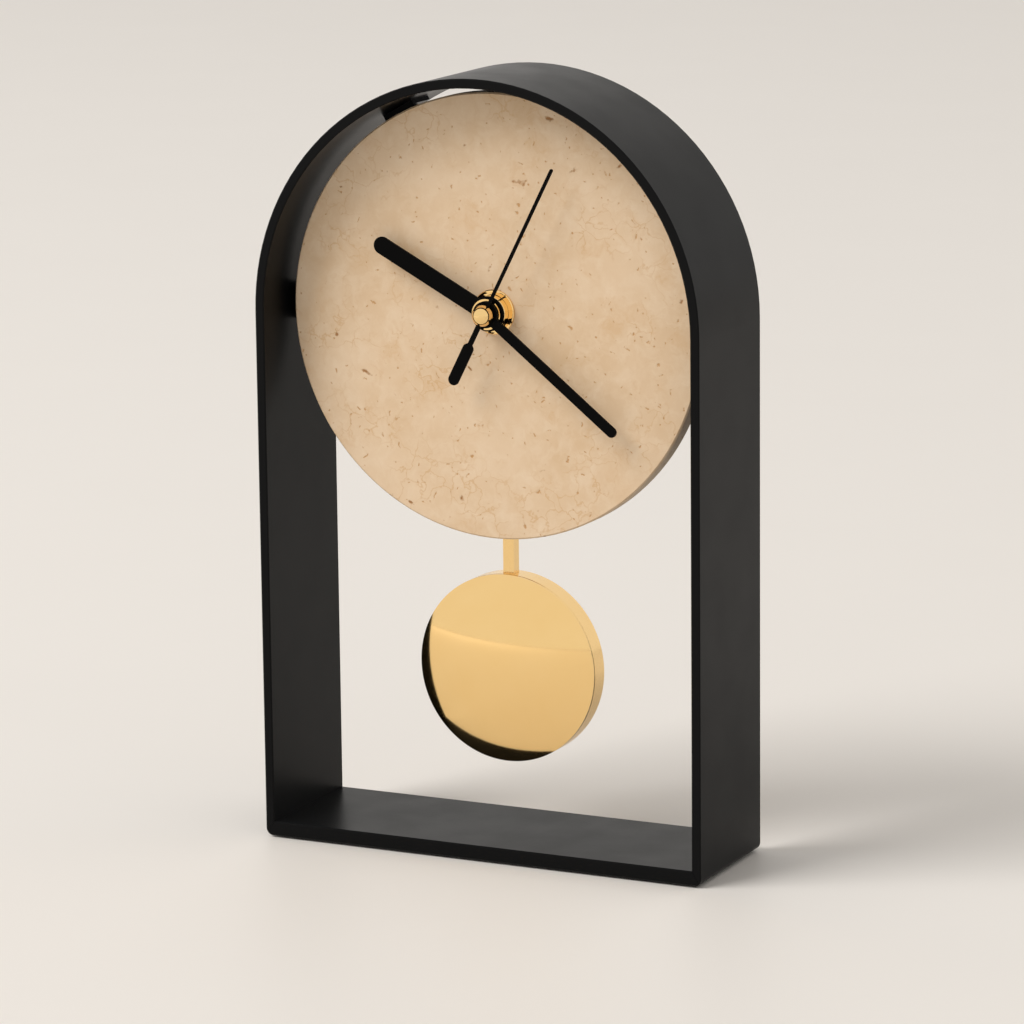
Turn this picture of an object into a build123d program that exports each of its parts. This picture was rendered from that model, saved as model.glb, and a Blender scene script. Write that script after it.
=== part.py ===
"""Desk pendulum clock: an arched metal frame, a stone dial, a quartz movement and a swinging bob.

Millimetres. X runs to the right, Y to the back and Z up; the origin is under the middle of the base.
"""
import math
import os

from build123d import *

# Frame: a bent metal band standing on a flat base
frame_width = 160.0
frame_height = 260.0
frame_depth = 50.0
band_thickness = 3.2
base_thickness = 5.0
corner_radius = 2.5
edge_break = 0.4
mitre_gap = 0.1
pad_thickness = 0.6
pad_radius = 4.0
pad_inset_x = 12.0
pad_inset_y = 6.0

# Stone dial, set back in the frame
dial_gap = 3.0
dial_thickness = 7.5
dial_recess = 16.5
dial_edge_break = 0.5
dial_hole_clearance = 0.3
hub_rise = 2.0

# Brackets that hold the dial to the band
bracket_angles = (0.0, 60.0, 120.0, 180.0)
bracket_thickness = 1.5
bracket_width = 12.0
bracket_reach = 16.0
bracket_depth = 12.0
bracket_screw_inset = 5.0
bracket_stud_drop = 7.5
screw_radius = 1.3
screw_head_radius = 2.8
screw_head_height = 1.6
screw_length = 5.0
insert_wall = 1.1
insert_floor = 2.0
stud_radius = 1.5
stud_end = 1.0
nut_flats = 5.5
nut_height = 2.4
hole_clearance = 0.3
fit_clearance = 0.05
press_clearance = 0.02

# Movement case and its fixing through the dial
gasket_thickness = 1.0
gasket_radius = 10.0
case_wall = 1.2
case_below_axis = 48.0
flange_radius = 5.5
flange_thickness = 0.8
bushing_radius = 4.0
washer_radius = 7.4
washer_thickness = 1.0
nut_base_radius = 6.4
nut_top_radius = 5.7
nut_step = 1.5
lip_depth = 1.5
lip_thickness = 1.2
lip_clearance = 0.1
blind_depth = 0.6

# Going train, in levels from the front wall to the back wall
gear_thickness = 1.0
level_gap = 0.4
level_clearance = 0.3
arbor_radius = 0.4
motion_arbor_radius = 0.8
pipe_wall = 0.77
hour_pipe_wall = 0.85
running_clearance = 0.08
motion_module = 0.48
centre_distance = 9.0
rotor_module = 0.25
third_angle = 200.0
motion_angle = 300.0
step_angle = 40.0
rotor_angle = -20.0
tooth_share = 0.42
leaf_share = 0.36
addendum_share = 0.85
dedendum_share = 1.25

# Stepping motor, electronics and battery
magnet_radius = 2.5
magnet_length = 2.8
magnet_gap = 0.4
train_end_gap = 1.3
stator_thickness = 1.2
stator_half_width = 5.0
stator_half_height = 8.0
stator_arm = 3.0
core_width = 3.0
core_offset = 8.0
coil_wall = 0.9
battery_radius = 7.1
battery_length = 49.2
battery_nub_radius = 2.6
battery_nub_length = 1.0
battery_clearance = 0.3
contact_thickness = 0.5
contact_width = 8.0
board_width = 13.0
board_height = 12.0
board_thickness = 1.0
board_standoff = 2.8
board_post_radius = 1.2
board_margin = 1.5
crystal_radius = 1.0
crystal_length = 6.0

# Setting knob on the back
knob_radius = 4.5
knob_length = 4.0
knob_gap = 0.3
knob_cap = 0.5
knob_flutes = 12
flute_radius = 0.5

# Hands, as they stand in the photograph: clockwise angles from twelve
hand_gap = 0.4
hand_thickness = 0.8
second_hand_thickness = 0.6
hour_angle = -62.0
minute_angle = 128.5
second_angle = 27.0
hour_hand_length = 46.3
hour_hand_width = 5.8
hour_eye_radius = 5.8
minute_hand_length = 59.0
minute_hand_width = 3.4
minute_eye_radius = 4.4
collet_radius = 5.1
collet_thickness = 0.7
second_hand_length = 55.0
second_hand_width = 1.1
second_eye_radius = 3.2
second_tail_start = 11.0
second_tail_end = 26.5
second_tail_width = 3.8
second_neck_width = 1.7
cap_radius = 3.5
cap_skirt = 1.3
cap_dome = 2.8
cap_bore_depth = 1.3

# Pendulum: arm in the movement, flat rod and round bob
swing_angle = 8.0
pivot_drop = 22.0
pivot_radius = 0.75
post_radius = 2.0
arm_clearance = 0.8
arm_thickness = 2.0
arm_head_radius = 3.5
arm_width = 6.0
slot_clearance = 0.6
hook_drop = 6.0
hook_radius = 1.0
arm_magnet_radius = 4.0
arm_magnet_thickness = 2.0
arm_magnet_drop = 12.0
air_gap = 1.2
drive_coil_radius = 6.0
drive_coil_bore = 2.5
drive_coil_length = 5.0
rod_clearance = 1.0
rod_width = 3.9
rod_depth = 4.0
rod_lap_gap = 0.5
rod_screw_radius = 0.9
rod_screw_head_radius = 1.6
rod_screw_head_height = 0.7
rod_screw_spacing = 6.0
bob_clearance = 23.6
bob_radius = 31.8
bob_band_wall = 1.8
bob_front_margin = 1.2
bob_back_margin = 2.4
bob_groove_depth = 0.6
bob_groove_width = 0.4
bob_rim = 0.5
bob_dome = 6.5
bob_face_wall = 0.9
bob_back_thickness = 0.9
bob_weight_floor = 1.2
bob_rod_entry = 17.0

# Places that follow from the sizes above
arch_z = frame_height - frame_width / 2
axis_z = arch_z + hub_rise
frame_front = -frame_depth / 2
base_bottom = pad_thickness
base_top = base_bottom + base_thickness
inner_half = frame_width / 2 - band_thickness
dial_radius = inner_half - dial_gap
dial_front = frame_front + dial_recess
dial_back = dial_front + dial_thickness
case_front = dial_back + gasket_thickness
case_inside = case_front + case_wall
train_front = case_inside + flange_thickness + level_clearance
level_pitch = gear_thickness + level_gap
rotor_front = train_front + 6 * level_pitch
case_lid = rotor_front + magnet_length + train_end_gap
case_back = case_lid + case_wall
case_inner_half = (battery_length + battery_nub_length) / 2 + contact_thickness + 2 * fit_clearance
case_half = case_inner_half + case_wall
case_bottom = axis_z - case_below_axis
pivot_z = axis_z - pivot_drop
bob_z = base_top + bob_clearance + bob_radius
arm_front = case_inside + arm_clearance
arm_back = arm_front + arm_thickness
hook_z = case_bottom - hook_drop
rod_front = dial_back + rod_clearance
rod_back = rod_front + rod_depth

# Tooth counts of the train: each pair is pinion leaves, wheel teeth
rotor_teeth = (8, 48)
step_teeth = (8, 40)
second_teeth = (8, 64)
third_teeth = (8, 60)
cannon_teeth = (10, 30)
motion_teeth = (8, 32)
step_module = 2 * centre_distance / sum(step_teeth)
second_module = 2 * centre_distance / sum(second_teeth)
third_module = 2 * centre_distance / sum(third_teeth)
motion_distance = motion_module * sum(cannon_teeth) / 2
rotor_distance = rotor_module * sum(rotor_teeth) / 2


def polar(distance, degrees, x=0.0, z=axis_z):
    """Return the point at a distance and angle from x, z, seen from the front."""
    angle = math.radians(degrees)
    return x + distance * math.cos(angle), z + distance * math.sin(angle)


third_axis = polar(centre_distance, third_angle)
motion_axis = polar(motion_distance, motion_angle)
step_axis = polar(centre_distance, step_angle)
rotor_axis = polar(rotor_distance, rotor_angle, *step_axis)
centre_axis = (0.0, axis_z)
dial_axis = (0.0, arch_z)
minute_bore = arbor_radius + running_clearance
minute_pipe_radius = minute_bore + pipe_wall
hour_bore = minute_pipe_radius + running_clearance
hour_pipe_radius = hour_bore + hour_pipe_wall
bushing_bore = hour_pipe_radius + running_clearance
step_wheel_tip = rotor_module * (rotor_teeth[1] / 2 + addendum_share)
bay_floor = step_axis[1] + step_wheel_tip + level_clearance
battery_z = bay_floor + case_wall + battery_clearance + battery_radius
battery_y = case_inside + battery_clearance + battery_radius
case_top = battery_z + battery_radius + battery_clearance + case_wall

# Stack of washer, nut and hands in front of the dial
washer_front = dial_front - washer_thickness
nut_front = washer_front - 2 * nut_step
hour_back = nut_front - hand_gap
hour_front = hour_back - hand_thickness
collet_back = hour_front - hand_gap
collet_front = collet_back - collet_thickness
minute_front = collet_front - hand_thickness
second_back = minute_front - hand_gap - fit_clearance
second_front = second_back - second_hand_thickness

# Bob, front to back
band_front = rod_front - bob_front_margin
band_back = rod_back + bob_back_margin
face_step = band_front - bob_groove_width
face_rim = face_step - bob_rim
face_front = face_rim - bob_dome
weight_back = rod_back + fit_clearance + bob_weight_floor
bob_inner = bob_radius - bob_band_wall
rod_bottom = bob_z + bob_radius - bob_rod_entry

FORWARD = (0, -1, 0)
os.makedirs("parts", exist_ok=True)


def upright(y, x=0.0, z=0.0, clockwise=0.0):
    """Return a plane that faces the front at depth y, turned clockwise by an angle."""
    turn = math.radians(clockwise)
    return Plane(origin=(x, y, z), x_dir=(math.cos(turn), 0, -math.sin(turn)), z_dir=FORWARD)


def disc(radius, front, back, centre=centre_axis, mode=Mode.ADD):
    """Add a round solid along Y between two depths."""
    with BuildSketch(upright(back, *centre)) as outline:
        Circle(radius)
    extrude(outline.sketch, amount=back - front, dir=FORWARD, mode=mode)


def block(x_span, y_span, z_span, mode=Mode.ADD):
    """Add a box between two limits on each axis."""
    middle = tuple((low + high) / 2 for low, high in (x_span, y_span, z_span))
    with Locations(middle):
        Box(x_span[1] - x_span[0], y_span[1] - y_span[0], z_span[1] - z_span[0], mode=mode)


def tooth_angle(radius, pitch_radius, rolling_radius):
    """Return how far a tooth flank has leaned over at a radius above the pitch circle."""
    low = 0.0
    high = math.pi * rolling_radius / (pitch_radius + rolling_radius)
    lean = 0.0
    for _ in range(40):
        roll = (low + high) / 2
        turn = (pitch_radius + rolling_radius) / rolling_radius * roll
        x = (pitch_radius + rolling_radius) * math.cos(roll) - rolling_radius * math.cos(turn)
        y = (pitch_radius + rolling_radius) * math.sin(roll) - rolling_radius * math.sin(turn)
        lean = math.atan2(y, x)
        if math.hypot(x, y) < radius:
            low = roll
        else:
            high = roll
    return lean


def gear_points(teeth, mate, module, share, phase):
    """Return the outline of a clock gear whose first tooth points at the phase angle."""
    pitch_radius = module * teeth / 2
    half_tooth = math.pi * share / teeth
    tip = pitch_radius + addendum_share * module
    middle = pitch_radius + addendum_share * module / 2
    root = pitch_radius - dedendum_share * module
    flank = [(root, half_tooth), (pitch_radius, half_tooth)]
    for radius in (middle, tip):
        lean = tooth_angle(radius, pitch_radius, module * mate / 4)
        flank.append((radius, max(half_tooth - lean, half_tooth * 0.15)))
    points = []
    for tooth in range(teeth):
        centre = phase + 2 * math.pi * tooth / teeth
        for radius, half in flank:
            points.append((radius * math.cos(centre - half), radius * math.sin(centre - half)))
        for radius, half in reversed(flank):
            points.append((radius * math.cos(centre + half), radius * math.sin(centre + half)))
    return points


def gear(pair, wheel, module, front, back, centre, phase):
    """Add a wheel or a pinion of a pair between two depths."""
    teeth = pair[1] if wheel else pair[0]
    mate = pair[0] if wheel else pair[1]
    share = tooth_share if wheel else leaf_share
    with BuildSketch(upright(back, *centre)) as outline:
        with BuildLine():
            Polyline(*gear_points(teeth, mate, module, share, phase), close=True)
        make_face()
    extrude(outline.sketch, amount=back - front, dir=FORWARD)


def mesh_phase(teeth, phase, mate_teeth, degrees):
    """Return the phase that puts a mate at the given direction in mesh with a gear."""
    direction = math.radians(degrees)
    share = (direction - phase) * teeth / (2 * math.pi)
    return direction + math.pi - (0.5 - share) * 2 * math.pi / mate_teeth


def level(number):
    """Return the front and back depth of a level of the train."""
    front = train_front + number * level_pitch
    return front, front + gear_thickness


def frame_ring():
    """Add the closed outline of the frame: base, legs and arch."""
    with BuildSketch(upright(frame_depth / 2)) as outline:
        with Locations((0, (base_bottom + arch_z) / 2)):
            Rectangle(frame_width, arch_z - base_bottom)
        fillet(outline.vertices().group_by(Axis.Y)[0], corner_radius)
        with Locations((0, arch_z)):
            Circle(frame_width / 2)
        with Locations((0, (base_top + arch_z) / 2)):
            Rectangle(2 * inner_half, arch_z - base_top, mode=Mode.SUBTRACT)
        with Locations((0, arch_z)):
            Circle(inner_half, mode=Mode.SUBTRACT)
    extrude(outline.sketch, amount=frame_depth, dir=FORWARD)


def mitre_wedge(gap, mode):
    """Cut with the wedge that holds the base, its sides running through the frame's corners."""
    reach = 3
    low = base_top - (reach + 1) * base_thickness
    wide = inner_half + (reach + 1) * band_thickness
    with BuildSketch(upright(frame_depth)) as outline:
        with BuildLine():
            Polyline(
                (-inner_half - gap, base_top),
                (inner_half + gap, base_top),
                (wide + gap, low),
                (-wide - gap, low),
                close=True,
            )
        make_face()
    extrude(outline.sketch, amount=2 * frame_depth, dir=FORWARD, mode=mode)


# Bent band: two legs and the arch in one strip, mitred where it meets the base
with BuildPart() as arch_band:
    frame_ring()
    chamfer(arch_band.edges().group_by(Axis.Y)[0] + arch_band.edges().group_by(Axis.Y)[-1], edge_break)
    mitre_wedge(mitre_gap, Mode.SUBTRACT)
arch_band.part.label = "arch_band"
export_step(arch_band.part, "parts/arch_band.step")

# Base plate: the flat that closes the band at the bottom
with BuildPart() as base_plate:
    frame_ring()
    chamfer(base_plate.edges().group_by(Axis.Y)[0] + base_plate.edges().group_by(Axis.Y)[-1], edge_break)
    mitre_wedge(0.0, Mode.INTERSECT)
base_plate.part.label = "base_plate"
export_step(base_plate.part, "parts/base_plate.step")

# Four thin pads under the base
with BuildPart() as base_pads:
    with GridLocations(frame_width - 2 * pad_inset_x, frame_depth - 2 * pad_inset_y, 2, 2):
        Cylinder(pad_radius, pad_thickness, align=(Align.CENTER, Align.CENTER, Align.MIN))
base_pads.part.label = "base_pads"
export_step(base_pads.part, "parts/base_pads.step")

# Brackets: flat against the band, so their faces stand inside its curve
bracket_outer = math.sqrt(inner_half**2 - (bracket_width / 2) ** 2) - fit_clearance
bracket_inner = bracket_outer - bracket_reach
screw_place = bracket_inner + bracket_screw_inset
stud_y = dial_back + bracket_stud_drop
bracket_face = dial_back + bracket_thickness
insert_bore = screw_radius + fit_clearance
insert_radius = insert_bore + insert_wall
insert_length = dial_thickness - insert_floor


def spoke(degrees):
    """Return a plane whose x runs outward from the dial's centre and whose y runs to the back."""
    turn = math.radians(degrees)
    outward = (math.cos(turn), 0, math.sin(turn))
    return Plane(origin=(0, 0, arch_z), x_dir=outward, z_dir=(-math.sin(turn), 0, math.cos(turn)))


def spoke_rod(degrees, radius, inner, outer, mode=Mode.ADD):
    """Add a round bar along a spoke between two radii, at the depth of the studs."""
    turn = math.radians(degrees)
    outward = Vector(math.cos(turn), 0, math.sin(turn))
    centre = Vector(0, stud_y, arch_z) + outward * inner
    with BuildSketch(Plane(origin=centre, x_dir=(0, 1, 0), z_dir=outward)) as outline:
        Circle(radius)
    extrude(outline.sketch, amount=outer - inner, dir=outward, mode=mode)


# Stone dial: a round slab with a hole for the movement and blind holes in the back
with BuildPart() as stone_dial:
    disc(dial_radius, dial_front, dial_back, dial_axis)
    chamfer(stone_dial.edges().filter_by(GeomType.CIRCLE), dial_edge_break)
    disc(bushing_radius + dial_hole_clearance, dial_front, dial_back, mode=Mode.SUBTRACT)
    for degrees in bracket_angles:
        place = polar(screw_place, degrees, *dial_axis)
        disc(insert_radius + press_clearance, dial_back - insert_length, dial_back, place, Mode.SUBTRACT)
stone_dial.part.label = "stone_dial"
export_step(stone_dial.part, "parts/stone_dial.step")

# Threaded inserts glued in the stone
with BuildPart() as dial_inserts:
    for degrees in bracket_angles:
        place = polar(screw_place, degrees, *dial_axis)
        disc(insert_radius, dial_back - insert_length, dial_back, place)
        disc(insert_bore, dial_back - insert_length, dial_back, place, Mode.SUBTRACT)
dial_inserts.part.label = "dial_inserts"
export_step(dial_inserts.part, "parts/dial_inserts.step")

# Angle brackets from the band to the back of the stone
with BuildPart() as dial_brackets:
    for degrees in bracket_angles:
        with BuildSketch(spoke(degrees)) as outline:
            with Locations((bracket_inner, dial_back)):
                Rectangle(bracket_reach, bracket_thickness, align=(Align.MIN, Align.MIN))
            with Locations((bracket_outer, dial_back)):
                Rectangle(bracket_thickness, bracket_depth, align=(Align.MAX, Align.MIN))
        extrude(outline.sketch, amount=bracket_width / 2, both=True)
        place = polar(screw_place, degrees, *dial_axis)
        disc(screw_radius + hole_clearance, dial_back, bracket_face, place, Mode.SUBTRACT)
        spoke_rod(degrees, stud_radius + hole_clearance, bracket_outer - bracket_thickness, bracket_outer,
                  Mode.SUBTRACT)
dial_brackets.part.label = "dial_brackets"
export_step(dial_brackets.part, "parts/dial_brackets.step")

# Pan screws from the brackets into the inserts
with BuildPart() as bracket_screws:
    for degrees in bracket_angles:
        place = polar(screw_place, degrees, *dial_axis)
        disc(screw_radius, dial_back - min(screw_length, insert_length), bracket_face, place)
        disc(screw_head_radius, bracket_face, bracket_face + screw_head_height, place)
bracket_screws.part.label = "bracket_screws"
export_step(bracket_screws.part, "parts/bracket_screws.step")

# Studs welded to the inside of the band
nut_face = bracket_outer - bracket_thickness
stud_root = math.sqrt(inner_half**2 - stud_radius**2) - press_clearance
with BuildPart() as weld_studs:
    for degrees in bracket_angles:
        spoke_rod(degrees, stud_radius, nut_face - nut_height - stud_end, stud_root)
weld_studs.part.label = "weld_studs"
export_step(weld_studs.part, "parts/weld_studs.step")

# Hexagon nuts on the studs
with BuildPart() as stud_nuts:
    for degrees in bracket_angles:
        turn = math.radians(degrees)
        outward = Vector(math.cos(turn), 0, math.sin(turn))
        centre = Vector(0, stud_y, arch_z) + outward * (nut_face - nut_height)
        with BuildSketch(Plane(origin=centre, x_dir=(0, 1, 0), z_dir=outward)) as outline:
            RegularPolygon(nut_flats / 2, 6, major_radius=False)
            Circle(stud_radius + fit_clearance, mode=Mode.SUBTRACT)
        extrude(outline.sketch, amount=nut_height, dir=outward)
stud_nuts.part.label = "stud_nuts"
export_step(stud_nuts.part, "parts/stud_nuts.step")

# Rubber gasket between the stone and the movement
with BuildPart() as movement_gasket:
    disc(gasket_radius, dial_back, case_front)
    disc(bushing_radius + fit_clearance, dial_back, case_front, mode=Mode.SUBTRACT)
movement_gasket.part.label = "movement_gasket"
export_step(movement_gasket.part, "parts/movement_gasket.step")

# Threaded bushing that carries the movement through the stone
with BuildPart() as centre_bushing:
    disc(bushing_radius, nut_front + fit_clearance, case_inside)
    disc(flange_radius, case_inside, case_inside + flange_thickness)
    disc(bushing_bore, nut_front, case_inside + flange_thickness, mode=Mode.SUBTRACT)
centre_bushing.part.label = "centre_bushing"
export_step(centre_bushing.part, "parts/centre_bushing.step")

# Washer and stepped round nut on the front of the dial
with BuildPart() as dial_washer:
    disc(washer_radius, washer_front, dial_front)
    chamfer(dial_washer.edges().group_by(Axis.Y)[0], washer_thickness / 4)
    disc(bushing_radius + fit_clearance, washer_front, dial_front, mode=Mode.SUBTRACT)
dial_washer.part.label = "dial_washer"
export_step(dial_washer.part, "parts/dial_washer.step")

with BuildPart() as dial_nut:
    disc(nut_base_radius, washer_front - nut_step, washer_front)
    disc(nut_top_radius, nut_front, washer_front - nut_step)
    chamfer(dial_nut.edges().group_by(Axis.Y)[0], nut_step / 5)
    disc(bushing_radius + fit_clearance, nut_front, washer_front, mode=Mode.SUBTRACT)
dial_nut.part.label = "dial_nut"
export_step(dial_nut.part, "parts/dial_nut.step")

# Front case: a tray with the bay wall for the battery, bearings and a slot for the arm
slot_reach = pivot_z - case_bottom
slot_half = arm_width / 2 / math.cos(math.radians(swing_angle)) + slot_clearance
slot_half = slot_half + slot_reach * math.tan(math.radians(swing_angle))
bearings = (third_axis, step_axis, rotor_axis)
pivot_axis = (0.0, pivot_z)
board_x = -case_inner_half + board_margin + board_width / 2
board_z = case_bottom + case_wall + board_margin + board_height / 2
board_front = case_inside + board_standoff
post_x = board_width / 2 - board_margin - board_post_radius
post_z = board_height / 2 - board_margin - board_post_radius
board_posts = [(board_x + sx * post_x, board_z + sz * post_z) for sx in (-1, 1) for sz in (-1, 1)]
with BuildPart() as front_case:
    block((-case_half, case_half), (case_front, case_lid), (case_bottom, case_top))
    chamfer(front_case.edges().filter_by(Axis.Y), case_wall)
    block((-case_inner_half, case_inner_half), (case_inside, case_lid),
          (case_bottom + case_wall, case_top - case_wall), Mode.SUBTRACT)
    block((-case_inner_half, case_inner_half), (case_inside, case_lid), (bay_floor, bay_floor + case_wall))
    block((-slot_half, slot_half), (arm_front - slot_clearance, arm_back + slot_clearance),
          (case_bottom, case_bottom + case_wall), Mode.SUBTRACT)
    disc(bushing_radius + fit_clearance, case_front, case_inside, mode=Mode.SUBTRACT)
    for place in bearings:
        disc(arbor_radius + fit_clearance, case_inside - blind_depth, case_inside, place, Mode.SUBTRACT)
    disc(motion_arbor_radius + fit_clearance, case_inside - blind_depth, case_inside, motion_axis,
         Mode.SUBTRACT)
    disc(post_radius, case_inside, arm_front - level_clearance, pivot_axis)
    disc(pivot_radius + press_clearance, case_inside - blind_depth, arm_front, pivot_axis, Mode.SUBTRACT)
    for place in board_posts:
        disc(board_post_radius, case_inside, board_front, place)
front_case.part.label = "front_case"
export_step(front_case.part, "parts/front_case.step")

# Rear case: the lid, open over the battery, with bearings and posts
coil_front = arm_back + arm_magnet_thickness + air_gap
magnet_axis = (0.0, pivot_z - arm_magnet_drop)
lip_outer = case_inner_half - lip_clearance
pin_back = case_lid - blind_depth
with BuildPart() as rear_case:
    block((-case_half, case_half), (case_lid, case_back), (case_bottom, case_top))
    chamfer(rear_case.edges().filter_by(Axis.Y), case_wall)
    block((-case_inner_half, case_inner_half), (case_lid, case_back),
          (bay_floor + case_wall, case_top - case_wall), Mode.SUBTRACT)
    for side in (-1, 1):
        edges = sorted((side * lip_outer, side * (lip_outer - lip_thickness)))
        block(edges, (case_lid - lip_depth, case_lid),
              (case_bottom + case_wall + lip_clearance, bay_floor - lip_clearance))
    disc(post_radius, arm_back + level_clearance, case_lid, pivot_axis)
    disc(pivot_radius + press_clearance, arm_back, pin_back, pivot_axis, Mode.SUBTRACT)
    disc(drive_coil_bore - fit_clearance, coil_front, case_lid, magnet_axis)
    for place in bearings + (centre_axis,):
        disc(arbor_radius + fit_clearance, case_lid, case_lid + blind_depth, place, Mode.SUBTRACT)
    disc(motion_arbor_radius + running_clearance, case_lid, case_back, motion_axis, Mode.SUBTRACT)
rear_case.part.label = "rear_case"
export_step(rear_case.part, "parts/rear_case.step")

# Battery and the two contacts at its ends
battery_left = -(battery_length + battery_nub_length) / 2
battery_right = battery_left + battery_length
with BuildPart() as battery:
    with BuildSketch(Plane(origin=(battery_left, battery_y, battery_z), z_dir=(1, 0, 0))) as outline:
        Circle(battery_radius)
    extrude(outline.sketch, amount=battery_length, dir=(1, 0, 0))
    chamfer(battery.edges().filter_by(GeomType.CIRCLE), battery_clearance)
    with BuildSketch(Plane(origin=(battery_right, battery_y, battery_z), z_dir=(1, 0, 0))) as outline:
        Circle(battery_nub_radius)
    extrude(outline.sketch, amount=battery_nub_length, dir=(1, 0, 0))
battery.part.label = "battery"
export_step(battery.part, "parts/battery.step")


def contact(side):
    """Add a flat contact against the end wall of the battery bay."""
    limits = sorted((side * (case_inner_half - fit_clearance - contact_thickness),
                     side * (case_inner_half - fit_clearance)))
    block(limits, (battery_y - contact_width / 2, battery_y + contact_width / 2),
          (battery_z - contact_width / 2, battery_z + contact_width / 2))


with BuildPart() as positive_contact:
    contact(1)
positive_contact.part.label = "positive_contact"
export_step(positive_contact.part, "parts/positive_contact.step")

with BuildPart() as negative_contact:
    contact(-1)
negative_contact.part.label = "negative_contact"
export_step(negative_contact.part, "parts/negative_contact.step")

# Circuit board on its posts, with the crystal can lying on it
board_back = board_front + board_thickness
with BuildPart() as circuit_board:
    block((board_x - board_width / 2, board_x + board_width / 2), (board_front, board_back),
          (board_z - board_height / 2, board_z + board_height / 2))
circuit_board.part.label = "circuit_board"
export_step(circuit_board.part, "parts/circuit_board.step")

crystal_y = board_back + crystal_radius + fit_clearance
with BuildPart() as quartz_crystal:
    crystal_end = (board_x - crystal_length / 2, crystal_y, board_z)
    with BuildSketch(Plane(origin=crystal_end, z_dir=(1, 0, 0))) as outline:
        Circle(crystal_radius)
    extrude(outline.sketch, amount=crystal_length, dir=(1, 0, 0))
quartz_crystal.part.label = "quartz_crystal"
export_step(quartz_crystal.part, "parts/quartz_crystal.step")

# Stepping motor: a stator plate round the rotor, a core and its coil
rotor_x, rotor_z = rotor_axis
stator_front = rotor_front + (magnet_length - stator_thickness) / 2
stator_back = stator_front + stator_thickness
core_x = rotor_x + core_offset
core_left = core_x - core_width / 2
core_right = core_x + core_width / 2
arm_low = stator_half_height - stator_arm
with BuildPart() as motor_stator:
    block((rotor_x - stator_half_width, rotor_x + stator_half_width), (stator_front, stator_back),
          (rotor_z - stator_half_height, rotor_z + stator_half_height))
    for side in (-1, 1):
        limits = sorted((rotor_z + side * arm_low, rotor_z + side * stator_half_height))
        block((rotor_x, core_right), (stator_front, stator_back), limits)
    disc(magnet_radius + magnet_gap, stator_front, stator_back, rotor_axis, Mode.SUBTRACT)
motor_stator.part.label = "motor_stator"
export_step(motor_stator.part, "parts/motor_stator.step")

core_half = arm_low - press_clearance
with BuildPart() as motor_core:
    block((core_left, core_right), (stator_front, stator_back), (rotor_z - core_half, rotor_z + core_half))
motor_core.part.label = "motor_core"
export_step(motor_core.part, "parts/motor_core.step")

coil_half = core_half - level_clearance
with BuildPart() as motor_coil:
    block((core_left - coil_wall, core_right + coil_wall),
          (stator_front - coil_wall, stator_back + coil_wall),
          (rotor_z - coil_half, rotor_z + coil_half))
    fillet(motor_coil.edges().filter_by(Axis.Z), coil_wall / 2)
    block((core_left - fit_clearance, core_right + fit_clearance),
          (stator_front - fit_clearance, stator_back + fit_clearance),
          (rotor_z - coil_half, rotor_z + coil_half), Mode.SUBTRACT)
motor_coil.part.label = "motor_coil"
export_step(motor_coil.part, "parts/motor_coil.step")

# Going train, from the rotor to the hour wheel; each gear is set in mesh with its driver
arbor_front = case_inside - blind_depth + fit_clearance
arbor_back = case_lid + blind_depth - fit_clearance
step_phase = mesh_phase(step_teeth[1], 0.0, step_teeth[0], step_angle)
rotor_phase = mesh_phase(rotor_teeth[1], 0.0, rotor_teeth[0], rotor_angle)
third_phase = mesh_phase(second_teeth[0], 0.0, second_teeth[1], third_angle)
centre_phase = mesh_phase(third_teeth[0], 0.0, third_teeth[1], third_angle + 180)
motion_phase = mesh_phase(cannon_teeth[0], 0.0, cannon_teeth[1], motion_angle)
hour_phase = mesh_phase(motion_teeth[0], 0.0, motion_teeth[1], motion_angle + 180)

with BuildPart() as motor_rotor:
    gear(rotor_teeth, False, rotor_module, level(5)[0], rotor_front, rotor_axis, rotor_phase)
    disc(magnet_radius, rotor_front, rotor_front + magnet_length, rotor_axis)
    disc(arbor_radius, arbor_front, arbor_back, rotor_axis)
motor_rotor.part.label = "motor_rotor"
export_step(motor_rotor.part, "parts/motor_rotor.step")

with BuildPart() as step_wheel:
    gear(rotor_teeth, True, rotor_module, *level(5), step_axis, 0.0)
    gear(step_teeth, False, step_module, level(4)[0], level(5)[0], step_axis, step_phase)
    disc(arbor_radius, arbor_front, arbor_back, step_axis)
step_wheel.part.label = "step_wheel"
export_step(step_wheel.part, "parts/step_wheel.step")

with BuildPart() as second_wheel:
    gear(step_teeth, True, step_module, *level(4), centre_axis, 0.0)
    gear(second_teeth, False, second_module, level(3)[0], level(4)[0], centre_axis, 0.0)
    disc(arbor_radius, second_front - cap_bore_depth + fit_clearance, arbor_back)
second_wheel.part.label = "second_wheel"
export_step(second_wheel.part, "parts/second_wheel.step")

with BuildPart() as third_wheel:
    gear(second_teeth, True, second_module, *level(3), third_axis, third_phase)
    gear(third_teeth, False, third_module, level(2)[0], level(3)[0], third_axis, 0.0)
    disc(arbor_radius, arbor_front, arbor_back, third_axis)
third_wheel.part.label = "third_wheel"
export_step(third_wheel.part, "parts/third_wheel.step")

with BuildPart() as centre_wheel:
    gear(third_teeth, True, third_module, *level(2), centre_axis, centre_phase)
    disc(minute_pipe_radius + press_clearance, *level(2), mode=Mode.SUBTRACT)
centre_wheel.part.label = "centre_wheel"
export_step(centre_wheel.part, "parts/centre_wheel.step")

with BuildPart() as minute_pipe:
    gear(cannon_teeth, False, motion_module, *level(1), centre_axis, 0.0)
    disc(minute_pipe_radius, minute_front, level(2)[1] + level_gap / 4)
    disc(minute_bore, minute_front, level(2)[1] + level_gap / 4, mode=Mode.SUBTRACT)
minute_pipe.part.label = "minute_pipe"
export_step(minute_pipe.part, "parts/minute_pipe.step")

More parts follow.
